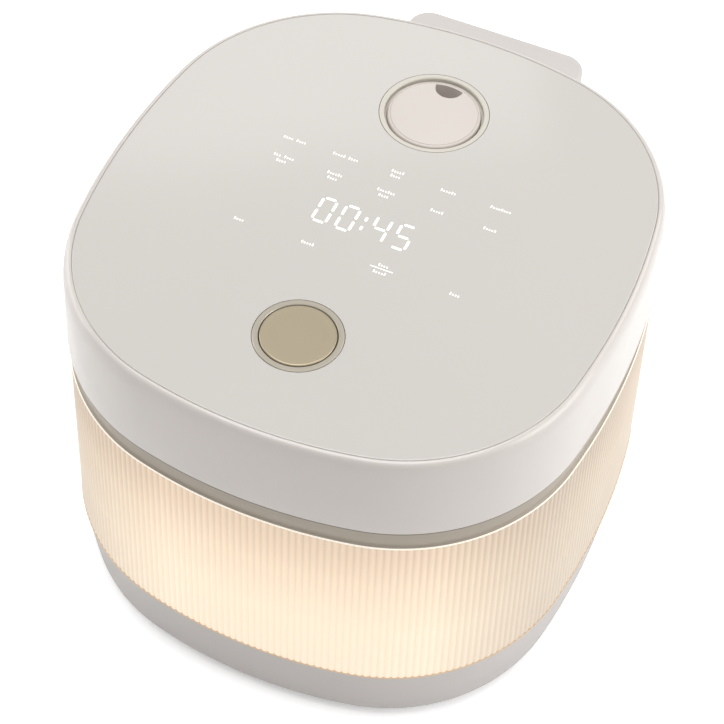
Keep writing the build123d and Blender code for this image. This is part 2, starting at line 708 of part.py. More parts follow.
# ---------------------------------------------------------------- release button and latch
def button_bezel():
    """The bright ring in the glass, a cup that guides the button, and a flange under the deck."""
    return turned([
        (4.2, CUP_BOTTOM), (BEZEL_RADIUS, CUP_BOTTOM), (BEZEL_RADIUS, 196.8), (25.0, 196.8),
        (25.0, DECK_BOTTOM), (BEZEL_RADIUS, DECK_BOTTOM), (BEZEL_RADIUS, GLASS_TOP),
        (19.8, GLASS_TOP + 0.2), (17.7, GLASS_TOP + 0.2), (17.4, GLASS_TOP - 0.1), (17.4, CUP_FLOOR),
        (4.2, CUP_FLOOR),
    ], BUTTON_Y)


def release_button():
    disc = rod(BUTTON_RADIUS, BUTTON_UNDERSIDE, BUTTON_TOP, 0, BUTTON_Y)
    disc = fillet(disc.faces().sort_by(Axis.Z)[-1].edges(), 0.8)
    stem = rod(4.1, 184.0, BUTTON_UNDERSIDE, 0, BUTTON_Y) + rod(1.5, STEM_BOTTOM, 184.0, 0, BUTTON_Y)
    return disc + stem


def button_spring():
    return coil_spring(7.0, 0.6, CUP_FLOOR, BUTTON_UNDERSIDE, 4, Pos(0, BUTTON_Y, 0))


def latch_hook():
    half_width = HOOK_HALF_WIDTH
    hub = cross_rod(3.6, half_width, LATCH_Y, LATCH_Z)
    hook = hub + block(-half_width, half_width, LATCH_Y - 1.5, LATCH_Y + 1.5, HOOK_BOTTOM, LATCH_Z)
    hook += block(-half_width, half_width, LATCH_Y, LATCH_Y + 3.6, HOOK_BOTTOM, HOOK_BOTTOM + 2.2)
    hook += block(-5, 5, LATCH_Y, BUTTON_Y + 3, LATCH_Z, STEM_BOTTOM - 0.6)
    return hook - cross_rod(LATCH_PIN_RADIUS + RUNNING_FIT, 20, LATCH_Y, LATCH_Z)


def latch_pin():
    return cross_rod(LATCH_PIN_RADIUS, 11, LATCH_Y, LATCH_Z)


def latch_spring():
    return coil_spring(3.0, 0.4, DISH_TOP, LATCH_Z - 0.2, 6, Pos(0, -92, 0))


# ---------------------------------------------------------------- lid electronics
def control_board():
    board = block(-67, 67, -38, 42, BOARD_TOP - BOARD_THICKNESS, BOARD_TOP)
    for x, y in BOARD_POSTS:
        board -= rod(1.5, 180, 190, x, y)
    return board


def display_module():
    return fillet(block(-29, 29, -16, 7, BOARD_TOP, 200.6).edges().filter_by(Axis.Z), 1.5)


def touch_springs():
    """One sprung contact under each touch key, between the board and the glass."""
    places = [(x, y) for y in KEY_ROWS for x in KEY_COLUMNS] + [(x, LOWER_KEY_Y) for x in LOWER_KEYS]
    contacts = []
    for x, y in places:
        stem = tube(2.6, 1.8, BOARD_TOP, 200.2, x, y)
        contacts.append(stem + tube(3.6, 1.8, 200.2, GLASS_BOTTOM, x, y))
    return group(contacts)


def buzzer():
    can = rod(6.0, BOARD_TOP - BOARD_THICKNESS - 5, BOARD_TOP - BOARD_THICKNESS, 36, -2)
    return can - rod(1.0, 175, BOARD_TOP - BOARD_THICKNESS - 3, 36, -2)


# ---------------------------------------------------------------- save every part
def main():
    os.makedirs("parts", exist_ok=True)
    parts = [
        base_housing, feet, support_screws, plate_supports, inlet_socket, inlet_pins, power_board,
        transformer, relay, capacitors, side_panel, light_reflector, led_board, leds, trim_band,
        top_collar, latch_keeper, pot_well_liner, inner_pot, heating_plate, heating_element,
        thermal_fuse, sensor_probe, sensor_bracket, sensor_spring, rear_cover, hinge_bracket,
        hinge_pin, hinge_spring, lid_shell, lid_arms, glass_top, lid_base, lid_screws, inner_lid_plate,
        inner_lid_clip, pot_gasket, vent_seat, vent_cap, cap_seal, vent_gasket, button_bezel,
        release_button, button_spring, latch_hook, latch_pin, latch_spring, control_board,
        display_module, touch_springs, buzzer,
    ]
    for part in parts:
        save(part.__name__, part())
    save("power_board_screws", board_screws(POWER_POSTS, POWER_BOARD_TOP + HEAD_HEIGHT, FLOOR_TOP, True))
    board_bottom = BOARD_TOP - BOARD_THICKNESS
    save("control_board_screws", board_screws(BOARD_POSTS, board_bottom - HEAD_HEIGHT, BOARD_TOP + 6, False))


main()
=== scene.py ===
# %% [markdown]
# # A lit rice cooker, finished around its engineering model
# The engineering model holds every part in its true place. This notebook loads it as a fixed
# frame, then adds what a mould or a lamp gives the real object: ribs, marks, finishes and light.
# Blender's own lengths are in metres, and the front of the cooker faces -Y. The profiles of rings,
# turned parts and plates are written in millimetres, and their helpers scale them down.

# %% Load the frame
import json
import math

import bmesh
import bpy
from mathutils import Matrix, Vector


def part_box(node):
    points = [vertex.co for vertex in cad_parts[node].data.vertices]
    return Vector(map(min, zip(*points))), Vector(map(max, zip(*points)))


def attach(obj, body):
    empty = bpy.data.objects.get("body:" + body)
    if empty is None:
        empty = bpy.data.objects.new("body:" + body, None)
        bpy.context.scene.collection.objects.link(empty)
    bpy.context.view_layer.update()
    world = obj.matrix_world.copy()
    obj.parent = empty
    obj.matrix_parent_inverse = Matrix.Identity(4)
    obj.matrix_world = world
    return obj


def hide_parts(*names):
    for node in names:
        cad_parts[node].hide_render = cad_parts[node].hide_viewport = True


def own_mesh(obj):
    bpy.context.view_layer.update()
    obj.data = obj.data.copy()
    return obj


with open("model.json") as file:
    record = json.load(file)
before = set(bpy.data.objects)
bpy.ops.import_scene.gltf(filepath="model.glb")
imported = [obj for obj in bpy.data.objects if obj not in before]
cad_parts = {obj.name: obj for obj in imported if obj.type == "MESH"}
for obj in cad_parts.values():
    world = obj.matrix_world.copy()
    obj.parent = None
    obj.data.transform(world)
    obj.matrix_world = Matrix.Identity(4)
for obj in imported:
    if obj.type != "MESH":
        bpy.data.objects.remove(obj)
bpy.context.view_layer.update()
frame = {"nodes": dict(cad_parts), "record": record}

MM = 0.001
MERGE = 1e-6
SMOOTH_ANGLE = 35
nodes = frame["nodes"]
print(len(nodes), "parts in the frame")

# %% [markdown]
# ## The plan outline
# Seen from above, the cooker is a soft square made of eight arcs that touch: two long side arcs,
# two end arcs and four corner arcs. Every casing follows it at its own distance, so it is stated
# once here, with the offset of an arc simply being a larger radius. The pot's axis, AXIS_Y, and the
# two half sizes are read from the glass, whose edge has an offset of 0.

# %% Outline of the glass
glass_low, glass_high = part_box("glass_top")
AXIS_Y = (glass_low.y + glass_high.y) / 2
HALF_WIDTH = (glass_high.x - glass_low.x) / 2
HALF_DEPTH = (glass_high.y - glass_low.y) / 2
SIDE_RADIUS = 335.5 * MM
END_RADIUS = 231.6 * MM
CORNER_RADIUS = 87.6 * MM
SIDE_CENTRE = Vector((HALF_WIDTH - SIDE_RADIUS, 0, 0))
END_CENTRE = Vector((0, HALF_DEPTH - END_RADIUS, 0))


def corner_centre():
    """Centre of the arc that touches the side arc and the end arc from inside."""
    to_side = SIDE_RADIUS - CORNER_RADIUS
    to_end = END_RADIUS - CORNER_RADIUS
    step = END_CENTRE - SIDE_CENTRE
    along = (to_side**2 - to_end**2 + step.length**2) / (2 * step.length)
    across = math.sqrt(to_side**2 - along**2)
    unit = step.normalized()
    return SIDE_CENTRE + unit * along + Vector((-unit.y, unit.x, 0)) * across


CORNER = corner_centre()
SIDE_ANGLE = math.atan2(CORNER.y - SIDE_CENTRE.y, CORNER.x - SIDE_CENTRE.x)
END_ANGLE = math.atan2(CORNER.y - END_CENTRE.y, CORNER.x - END_CENTRE.x)
print("corner centre", [round(c / MM, 1) for c in CORNER], "axis y", round(AXIS_Y / MM, 2))


# %% Tracing and leaning
def outward(point):
    """Unit direction that leads straight out of the outline at a point."""
    x, y = abs(point.x), abs(point.y - AXIS_Y)
    if math.atan2(y - SIDE_CENTRE.y, x - SIDE_CENTRE.x) < SIDE_ANGLE:
        centre = SIDE_CENTRE
    elif math.atan2(y - END_CENTRE.y, x - END_CENTRE.x) > END_ANGLE:
        centre = END_CENTRE
    else:
        centre = CORNER
    way = Vector((x - centre.x, y - centre.y, 0)).normalized()
    return Vector((math.copysign(way.x, point.x), math.copysign(way.y, point.y - AXIS_Y), 0))


def trace_outline(bm, offset, side_steps, corner_steps, end_steps):
    """A closed loop of edges: one quarter spun arc by arc, then mirrored twice."""
    start = bm.verts.new((HALF_WIDTH + offset, 0, 0))
    arcs = [
        (SIDE_CENTRE, SIDE_ANGLE, side_steps),
        (CORNER, END_ANGLE - SIDE_ANGLE, corner_steps),
        (END_CENTRE, math.pi / 2 - END_ANGLE, end_steps),
    ]
    tip = [start]
    for centre, angle, steps in arcs:
        turned = bmesh.ops.spin(bm, geom=tip, cent=centre, axis=(0, 0, 1), angle=angle, steps=steps)
        tip = [v for v in turned["geom_last"] if isinstance(v, bmesh.types.BMVert)]
    for axis in ("X", "Y"):
        bmesh.ops.mirror(bm, geom=bm.verts[:] + bm.edges[:], merge_dist=MERGE, axis=axis)
    bmesh.ops.remove_doubles(bm, verts=bm.verts[:], dist=MERGE)
    bmesh.ops.translate(bm, verts=bm.verts[:], vec=(0, AXIS_Y, 0))


def pull_walls(bm, profile):
    """Pulls the traced loop through a profile of (offset, height) points, in metres."""
    edges = bm.edges[:]
    for vert in bm.verts:
        vert.co.z = profile[0][1]
    for (offset, height), (before, _) in zip(profile[1:], profile[:-1]):
        pulled = bmesh.ops.extrude_edge_only(bm, edges=edges)["geom"]
        edges = [e for e in pulled if isinstance(e, bmesh.types.BMEdge)]
        for vert in [v for v in pulled if isinstance(v, bmesh.types.BMVert)]:
            vert.co += outward(vert.co) * (offset - before)
            vert.co.z = height


def to_object(bm, name, body, smooth=SMOOTH_ANGLE):
    """Turns a bmesh into a piece that rides on a body, with smooth faces up to an angle."""
    mesh = bpy.data.meshes.new(name)
    bm.to_mesh(mesh)
    bm.free()
    for face in mesh.polygons:
        face.use_smooth = True
    mesh.set_sharp_from_angle(angle=math.radians(smooth))
    piece = bpy.data.objects.new(name, mesh)
    bpy.context.scene.collection.objects.link(piece)
    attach(piece, body)
    return piece


# %% [markdown]
# Nearly every added piece is one of three shapes: a ring round the outline, a part turned on a
# lathe, or a small plate. One helper makes each, from sizes in millimetres, and a fourth takes a
# pocket or a slot out of a finished piece.

# %% Rings, turned parts and cuts
RING_STEPS = (28, 44, 28)


def outline_ring(name, profile, body, smooth=SMOOTH_ANGLE):
    """A closed ring round the outline, from a closed profile of (offset, height) in millimetres."""
    bm = bmesh.new()
    points = [(offset * MM, height * MM) for offset, height in profile]
    trace_outline(bm, points[0][0], *RING_STEPS)
    pull_walls(bm, points + points[:1])
    bmesh.ops.remove_doubles(bm, verts=bm.verts[:], dist=MERGE)
    bmesh.ops.recalc_face_normals(bm, faces=bm.faces[:])
    piece = to_object(bm, name, body, smooth)
    print(name, len(piece.data.polygons), "faces")
    return piece


def spun(name, profile, y, body, steps=96):
    """A (radius, height) profile in millimetres, turned about the upright line through y."""
    bm = bmesh.new()
    verts = [bm.verts.new((radius * MM, 0, height * MM)) for radius, height in profile]
    pairs = list(zip(verts, verts[1:]))
    if profile[0][0] > 0:
        pairs.append((verts[-1], verts[0]))
    edges = [bm.edges.new(pair) for pair in pairs]
    bmesh.ops.spin(
        bm, geom=verts + edges, cent=(0, 0, 0), axis=(0, 0, 1), angle=math.tau, steps=steps,
        use_merge=True,
    )
    bmesh.ops.remove_doubles(bm, verts=bm.verts[:], dist=MERGE)
    bmesh.ops.recalc_face_normals(bm, faces=bm.faces[:])
    bmesh.ops.translate(bm, verts=bm.verts[:], vec=(0, y, 0))
    piece = to_object(bm, name, body)
    print(name, len(piece.data.polygons), "faces")
    return piece


def cut(piece, cutter_bm):
    """Takes a bmesh away from a piece and leaves a plain mesh behind."""
    cutter_mesh = bpy.data.meshes.new("cutter")
    cutter_bm.to_mesh(cutter_mesh)
    cutter_bm.free()
    cutter = bpy.data.objects.new("cutter", cutter_mesh)
    bpy.context.scene.collection.objects.link(cutter)
    modifier = piece.modifiers.new("cut", "BOOLEAN")
    modifier.object = cutter
    modifier.operation = "DIFFERENCE"
    modifier.solver = "EXACT"
    evaluated = piece.evaluated_get(bpy.context.evaluated_depsgraph_get())
    result = bpy.data.meshes.new_from_object(evaluated)
    piece.modifiers.clear()
    piece.data = result
    bpy.data.objects.remove(cutter)
    bpy.data.meshes.remove(cutter_mesh)
    piece.data.set_sharp_from_angle(angle=math.radians(SMOOTH_ANGLE))
    print(piece.name, "after the cut", len(piece.data.polygons), "faces")


def flat_bar(bm, x, y, width, depth, low, high, corner, segments):
    """A small plate with rounded upright corners, in millimetres from the pot's axis."""
    place = Matrix.Translation((x * MM, AXIS_Y + y * MM, (low + high) / 2 * MM))
    size = Matrix.Diagonal((width * MM, depth * MM, (high - low) * MM, 1))
    made = bmesh.ops.create_cube(bm, size=1, matrix=place @ size)["verts"]
    edges = {e for v in made for e in v.link_edges}
    upright = [e for e in edges if abs(e.verts[0].co.z - e.verts[1].co.z) > MERGE]
    bmesh.ops.bevel(
        bm, geom=upright, offset=corner * MM, offset_type="OFFSET", segments=segments, profile=0.5,
        affect="EDGES", material=-1,
    )


# %% [markdown]
# ## The ribbed panel
# The real panel is a translucent moulding with fine upright flutes and lamps behind it. Bump alone
# would leave its edge straight and would be lost in the mesh, so every flute is real: the outline
# is traced with eight steps to a rib, and each step is pushed in by a rounded profile. The panel
# is open behind the hinge housing, so that stretch of the loop is deleted before the ribs are
# counted. How high a point stands on its rib is kept on the mesh for the panel's finish.

# %% Ribbed panel
RIB_STEPS = 8
RIBS_PER_ARC = (16, 34, 16)
RIB_DEPTH = 0.55 * MM
PANEL_CAP = 0.55 * MM
PANEL_BOTTOM_OFFSET = 7.45 * MM
PANEL_TOP_OFFSET = 5.2 * MM
PANEL_WALL = 1.6 * MM
PANEL_ROWS = 4
REAR_GAP_HALF = 46.3 * MM
panel_low, panel_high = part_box("side_panel")


def rib_height(step):
    """0 in a groove and 1 on the crest of a rounded rib."""
    return abs(math.sin(math.pi * step / RIB_STEPS))


def ribbed_panel():
    bm = bmesh.new()
    trace_outline(bm, PANEL_BOTTOM_OFFSET, *[ribs * RIB_STEPS for ribs in RIBS_PER_ARC])
    crest = bm.verts.layers.float.new("crest")
    rear = [v for v in bm.verts if abs(v.co.x) < REAR_GAP_HALF and v.co.y > AXIS_Y]
    bmesh.ops.delete(bm, geom=rear, context="VERTS")
    count_ribs(bm, crest)
    edges = bm.edges[:]
    rise = panel_high.z - PANEL_CAP - panel_low.z
    lean = PANEL_TOP_OFFSET - PANEL_BOTTOM_OFFSET
    for vert in bm.verts:
        vert.co -= outward(vert.co) * (1 - vert[crest]) * RIB_DEPTH
        vert.co.z = panel_low.z
    for row in range(1, PANEL_ROWS + 1):
        pulled = bmesh.ops.extrude_edge_only(bm, edges=edges)["geom"]
        edges = [e for e in pulled if isinstance(e, bmesh.types.BMEdge)]
        for vert in [v for v in pulled if isinstance(v, bmesh.types.BMVert)]:
            vert.co += outward(vert.co) * lean / PANEL_ROWS
            vert.co.z = panel_low.z + rise * row / PANEL_ROWS
    bmesh.ops.recalc_face_normals(bm, faces=bm.faces[:])
    # An open wall has no inside, so its faces are turned by the outline when they face inwards.
    if sum(f.normal.dot(outward(f.calc_center_median())) for f in bm.faces) < 0:
        bmesh.ops.reverse_faces(bm, faces=bm.faces[:])
    bmesh.ops.solidify(bm, geom=bm.faces[:], thickness=PANEL_WALL)
    piece = to_object(bm, "ribbed_panel", "body", 60)
    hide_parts("side_panel")
    return piece


def count_ribs(bm, crest):
    """Walks round the open loop and writes how high each vertex stands on its rib."""
    bm.verts.ensure_lookup_table()
    here = next(v for v in bm.verts if len(v.link_edges) == 1)
    before, step = None, 0
    while here is not None:
        here[crest] = rib_height(step)
        onward = [e.other_vert(here) for e in here.link_edges if e.other_vert(here) is not before]
        before, here = here, onward[0] if onward else None
        step += 1
    print("rib steps", step, "ribs", round(step / RIB_STEPS))


panel = ribbed_panel()
print("panel faces", len(panel.data.polygons))

# %% [markdown]
# The flutes end in a smooth ring at each end of the panel: a flat ledge at the top, whose bright line under
# the trim band is a painted highlight, as the ledge glows evenly, and a narrow foot at the bottom, whose
# glow is dimmed to a brown that paints the shadow line above the base. Above the ledge the band has a coved
# foot of its own, which draws a dark line. Each is a ring of the same outline with its own small profile.

# %% Smooth ends of the panel
LEDGE_TOP = panel_high.z / MM
LEDGE_LOW = LEDGE_TOP - 0.6
FOOT_LOW = panel_low.z / MM
FOOT_TOP = FOOT_LOW + 0.8
ledge = outline_ring("panel_ledge", [
    (3.6, LEDGE_LOW), (5.15, LEDGE_LOW), (5.3, LEDGE_LOW + 0.15), (5.3, LEDGE_TOP - 0.25),
    (5.1, LEDGE_TOP), (3.6, LEDGE_TOP),
], "body")
band_foot = outline_ring("band_foot", [
    (3.8, LEDGE_TOP - 0.2), (4.8, LEDGE_TOP - 0.2), (4.82, LEDGE_TOP + 0.06),
    (4.5, LEDGE_TOP + 0.14), (4.22, LEDGE_TOP + 0.4), (4.08, LEDGE_TOP + 1.0),
    (3.8, LEDGE_TOP + 1.2),
], "body")
foot = outline_ring("panel_foot", [
    (6.2, FOOT_LOW), (7.5, FOOT_LOW), (7.62, FOOT_LOW + 0.12), (7.62, FOOT_LOW + 0.7),
    (7.56, FOOT_TOP), (6.2, FOOT_TOP),
], "body")

# %% [markdown]
# ## The lid casing
# The casing is one moulding: an upright wall that leans in a little, a soft shoulder that rolls
# over to the glass, and a ledge that the glass rests on. The shoulder's shine is what shows the
# roundness, so it is drawn as a curve with many short steps. It leaves the wall and meets the top
# almost straight on, tucked in a little so that the turn stays soft.
# A thin grey bead of glue fills the gap round the glass, and a lip under the casing, coloured dark as
# painted shadow, draws the shadow line where the lid meets the trim band.

# %% Lid casing and glass bead
LID_LOW = 157.8
LID_OFFSET = 5.6
LID_LEAN = 1.0 / 32.2
SHOULDER_LOW = 195.5
RIM_TOP = 203.95
SHOULDER_STEPS = 14
TUCK_IN, TUCK_DOWN = 0.2, 0.35
RIM_INSIDE = 0.5
GLASS_SEAT = 201.4
SEAT_TOP = GLASS_SEAT - 0.6
SEAT_UNDERSIDE = 199.0
SEAT_INSIDE = -9.0
BEAD_TOP = 203.62
LIP_DROP = 0.6


def shoulder():
    """A bend from the leaning wall to the flat rim, tucked in a little at its corner."""
    start = Vector((LID_OFFSET - LID_LEAN * (SHOULDER_LOW - LID_LOW), SHOULDER_LOW))
    corner = Vector((LID_OFFSET - LID_LEAN * (RIM_TOP - LID_LOW) - TUCK_IN, RIM_TOP - TUCK_DOWN))
    end = Vector((RIM_INSIDE, RIM_TOP))
    curve = []
    for step in range(SHOULDER_STEPS + 1):
        share = step / SHOULDER_STEPS
        point = start * (1 - share) ** 2 + corner * 2 * share * (1 - share) + end * share**2
        curve.append((point.x, point.y))
    return curve


casing = outline_ring("lid_casing", [
    (3.2, LID_LOW), (4.7, LID_LOW), (5.2, LID_LOW + 0.12), (5.5, LID_LOW + 0.45),
    (5.55, LID_LOW + 1.0), *shoulder(), (0.36, RIM_TOP - 0.02), (0.26, RIM_TOP - 0.15),
    (0.26, SEAT_TOP), (SEAT_INSIDE, SEAT_TOP), (SEAT_INSIDE, SEAT_UNDERSIDE), (0.2, SEAT_UNDERSIDE),
], "lid", 50)
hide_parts("lid_shell")
lip = outline_ring("lid_lip", [
    (4.4, LID_LOW - LIP_DROP), (5.15, LID_LOW - LIP_DROP), (5.3, LID_LOW - 0.4),
    (5.3, LID_LOW + 0.1), (4.4, LID_LOW + 0.1),
], "lid")
bead = outline_ring("glass_bead", [
    (0.02, GLASS_SEAT), (0.24, GLASS_SEAT), (0.24, BEAD_TOP - 0.07), (0.13, BEAD_TOP),
    (0.02, BEAD_TOP - 0.07),
], "lid")

# %% [markdown]
# ## The steam cap
# The cap is a shallow lid with a fine groove just inside its edge and a scoop at the rear for a
# fingertip. Its round shape is turned from a profile, and the scoop and the steam slot are cut
# out of it, as a moulding's core pins would leave them.

# %% Steam cap
cap_low, cap_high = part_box("vent_cap")
VENT_Y = (cap_low.y + cap_high.y) / 2
CAP_TOP = cap_high.z / MM
CAP_SKIRT = cap_low.z / MM
CAP_PLATE_LOW = 193.6
SKIRT_INSIDE = 19.8
VENT_STEPS = 128
cap = spun("steam_cap", [
    (0, CAP_TOP), (20.3, CAP_TOP), (20.5, CAP_TOP - 0.06), (20.65, CAP_TOP - 0.34),
    (20.85, CAP_TOP - 0.3), (21.0, CAP_TOP - 0.06), (21.3, CAP_TOP - 0.1), (21.8, CAP_TOP - 0.4),
    (22.1, CAP_TOP - 0.9), (22.2, CAP_TOP - 1.6), (22.0, CAP_SKIRT), (SKIRT_INSIDE, CAP_SKIRT),
    (SKIRT_INSIDE, CAP_PLATE_LOW), (0, CAP_PLATE_LOW),
], VENT_Y, "vent", VENT_STEPS)
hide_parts("vent_cap")

# %% Finger scoop and steam slot
SCOOP_RADIUS = 6.9
SCOOP_DEPTH = 7.6
SCOOP_TAPER = 0.35
SCOOP_Y = VENT_Y + 19.0 * MM
SCOOP_RIM = 19.9
RIM_CUTS = 12
RIM_CUT_TURN = 2
SLOT_SIZE = (6 * MM, 14 * MM, 7 * MM)
SLOT_PLACE = (0, VENT_Y - 23 * MM, 193.5 * MM)


def scoop():
    """A deep round pocket with everything outside the cap's rim sliced off."""
    bm = bmesh.new()
    place = Matrix.Translation((0, SCOOP_Y, CAP_TOP * MM))
    bmesh.ops.create_cone(
        bm, cap_ends=True, segments=96, radius1=(SCOOP_RADIUS - SCOOP_TAPER) * MM,
        radius2=(SCOOP_RADIUS + SCOOP_TAPER) * MM, depth=2 * SCOOP_DEPTH * MM, matrix=place,
    )
    for step in range(-RIM_CUTS, RIM_CUTS + 1):
        angle = math.radians(90 + step * RIM_CUT_TURN)
        way = Vector((math.cos(angle), math.sin(angle), 0))
        rim = Vector((0, VENT_Y, 0)) + way * SCOOP_RIM * MM
        cut_off = bmesh.ops.bisect_plane(
            bm, geom=bm.verts[:] + bm.edges[:] + bm.faces[:], plane_co=rim, plane_no=way,
            clear_outer=True,
        )["geom_cut"]
        open_edges = [e for e in cut_off if isinstance(e, bmesh.types.BMEdge)]
        if open_edges:
            bmesh.ops.contextual_create(bm, geom=open_edges)
    bmesh.ops.recalc_face_normals(bm, faces=bm.faces[:])
    return bm


def steam_slot():
    """The slot in the front of the skirt, where the steam leaves."""
    bm = bmesh.new()
    place = Matrix.Translation(SLOT_PLACE) @ Matrix.Diagonal((*SLOT_SIZE, 1))
    bmesh.ops.create_cube(bm, size=1, matrix=place)
    return bm


cut(cap, scoop())
cut(cap, steam_slot())

# %% [markdown]
# The cap sits in a round seat, with a deep groove between them. A low step near the top of the
# seat narrows the groove, and it is what makes the shadow there a soft one.

# %% Seat step
STEP_TOP = CAP_TOP - 2.2
seat_step = spun("vent_seat_step", [
    (22.45, STEP_TOP - 0.8), (23.45, STEP_TOP - 0.8), (23.45, STEP_TOP + 0.3), (22.9, STEP_TOP),
    (22.45, STEP_TOP - 0.1),
], VENT_Y, "lid", VENT_STEPS)

# %% [markdown]
# Where two parts meet in the glass, the real product shows a fine dark line, the shadow of the gap between
# them. A thin dark ring sunk in each gap paints that shadow in.

# %% Gap rings
RING_LOW = 202.6
RING_TOP = 203.6
GAP = 0.3
RING_PLAY = 0.02
VENT_SEAT_RADIUS = 25.9
BEZEL_RADIUS = 20.1
button_low, button_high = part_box("release_button")
BUTTON_Y = (button_low.y + button_high.y) / 2


def gap_ring(name, radius, y):
    """A thin ring that fills a gap in the glass, just clear of both its sides."""
    inside, outside = radius + RING_PLAY, radius + GAP - RING_PLAY
    return spun(name, [
        (inside, RING_LOW), (outside, RING_LOW), (outside, RING_TOP), (inside, RING_TOP),
    ], y, "lid")


gap_rings = [
    gap_ring("vent_gap_ring", VENT_SEAT_RADIUS, VENT_Y),
    gap_ring("button_gap_ring", BEZEL_RADIUS, BUTTON_Y),
]

# %% [markdown]
# ## Lit digits and key marks
# Lamps under the glass show a clock of seven-stroke digits and a small mark over each touch key.
# Each stroke is a thin plate with round corners, set into the glass and a hair proud of it, so the
# digits exist in the mesh. The key marks are rows of short ticks that stand for words and spell
# nothing.

# %% Digits
MARK_LOW = 203.9
MARK_HIGH = 204.06
DIGIT_WIDTH = 6.7
DIGIT_HEIGHT = 14.6
STROKE = 1.25
STROKE_TRIM = 1.7
STROKE_CORNER = STROKE * 0.44
DIGIT_MIDDLE = -4.5
COLON_X = -1.1
COLON_RISE = 2.9
COLON_HEIGHT = 2.6
STROKES_LIT = {"0": "abcdef", "4": "bcfg", "5": "acdfg"}
DIGITS = [("0", -20.4), ("0", -9.0), ("4", 6.8), ("5", 18.2)]


def stroke(bm, x, y, width, depth):
    flat_bar(bm, x, y, width, depth, MARK_LOW, MARK_HIGH, STROKE_CORNER, 3)


def digit(bm, figure, x):
    """Draws one figure from its seven possible strokes."""
    half_width, half_height = DIGIT_WIDTH / 2, DIGIT_HEIGHT / 2
    quarter = half_height / 2
    level = DIGIT_WIDTH - STROKE_TRIM
    rise = half_height - STROKE_TRIM
    places = {
        "a": (0, half_height, level, STROKE), "d": (0, -half_height, level, STROKE),
        "g": (0, 0, level, STROKE),
        "b": (half_width, quarter, STROKE, rise), "c": (half_width, -quarter, STROKE, rise),
        "f": (-half_width, quarter, STROKE, rise), "e": (-half_width, -quarter, STROKE, rise),
    }
    for name in STROKES_LIT[figure]:
        step_x, step_y, width, depth = places[name]
        stroke(bm, x + step_x, DIGIT_MIDDLE + step_y, width, depth)


bm = bmesh.new()
for figure, x in DIGITS:
    digit(bm, figure, x)
for y in (DIGIT_MIDDLE - COLON_RISE, DIGIT_MIDDLE + COLON_RISE):
    stroke(bm, COLON_X, y, STROKE, COLON_HEIGHT)
digits = to_object(bm, "clock_digits", "lid")
print("digit faces", len(digits.data.polygons))

# %% Key marks
TICK_PITCH = 1.3
TICK_WIDTH = 0.62
TICK_CORNER = 0.18
TICK_HIGH = MARK_HIGH - 0.01
TALL_TICK, LOW_TICK = 1.6, 1.05
TALL_PLACES = (0, 4)
LINE_GAP = 3.0
LINE_DROP = 0.7
# Each key is its place along the row, then its lines, each a count of ticks for every word.
UPPER_KEYS = [
    (-51.5, [(4, 4)]), (-25.7, [(5, 4)]), (0.0, [(5,), (4,)]), (25.7, [(6,)]), (51.5, [(8,)]),
]
MIDDLE_KEYS = [
    (-51.5, [(3, 4), (4,)]), (-25.7, [(6,), (4,)]), (0.0, [(7,), (4,)]), (25.7, [(5,)]),
    (51.5, [(5,)]),
]
LOWER_KEYS = [(-53.0, [(4,)]), (-19.0, [(5,)]), (52.0, [(4,)])]
KEY_ROWS = [(30.0, UPPER_KEYS), (16.5, MIDDLE_KEYS), (-26.0, LOWER_KEYS)]
SPLIT_KEY_X = 17.0
SPLIT_KEY_LINES = [(-24.6, (4,)), (-29.0, (5,))]
SPLIT_BAR_Y, SPLIT_BAR_WIDTH, SPLIT_BAR_DEPTH, SPLIT_BAR_CORNER = -25.9, 11.0, 0.45, 0.15


def tick_row(bm, x, y, words):
    """One line of ticks, with the first and the fifth of each word a little taller."""
    count = sum(words) + len(words) - 1
    left = x - (count - 1) / 2 * TICK_PITCH
    for word in words:
        for index in range(word):
            height = TALL_TICK if index in TALL_PLACES else LOW_TICK
            middle = y + height / 2
            flat_bar(bm, left, middle, TICK_WIDTH, height, MARK_LOW, TICK_HIGH, TICK_CORNER, 1)
            left += TICK_PITCH
        left += TICK_PITCH


def key_mark(bm, x, y, lines):
    """The lines of one key, centred on its place."""
    top = y + (len(lines) - 1) * LINE_GAP / 2 - LINE_DROP
    for number, words in enumerate(lines):
        tick_row(bm, x, top - number * LINE_GAP, words)


bm = bmesh.new()
for y, row in KEY_ROWS:
    for x, lines in row:
        key_mark(bm, x, y, lines)
for y, words in SPLIT_KEY_LINES:
    tick_row(bm, SPLIT_KEY_X, y, words)
flat_bar(
    bm, SPLIT_KEY_X, SPLIT_BAR_Y, SPLIT_BAR_WIDTH, SPLIT_BAR_DEPTH, MARK_LOW, TICK_HIGH,
    SPLIT_BAR_CORNER, 1,
)
marks = to_object(bm, "key_marks", "lid")
print("mark faces", len(marks.data.polygons))

# %% [markdown]
# ## Level marks in the pot
# A cooking pot has short level lines on its wall. They show only with the lid open, and are kept
# as plain raised ticks, longer at every second level.

# %% Level marks
POT_INSIDE = 99.45
LEVEL_COUNT = 8
FIRST_LEVEL = 62
LEVEL_RISE = 10
LONG_LEVEL, SHORT_LEVEL = 9.0, 5.5
LEVEL_THICKNESS, LEVEL_HEIGHT, LEVEL_CORNER = 0.3, 0.8, 0.1
bm = bmesh.new()
for level in range(LEVEL_COUNT):
    low = FIRST_LEVEL + LEVEL_RISE * level
    length = LONG_LEVEL if level % 2 else SHORT_LEVEL
    for side in (-1, 1):
        flat_bar(
            bm, side * POT_INSIDE, 0, LEVEL_THICKNESS, length, low, low + LEVEL_HEIGHT,
            LEVEL_CORNER, 1,
        )
levels = to_object(bm, "pot_levels", "body")
print("level mark faces", len(levels.data.polygons))
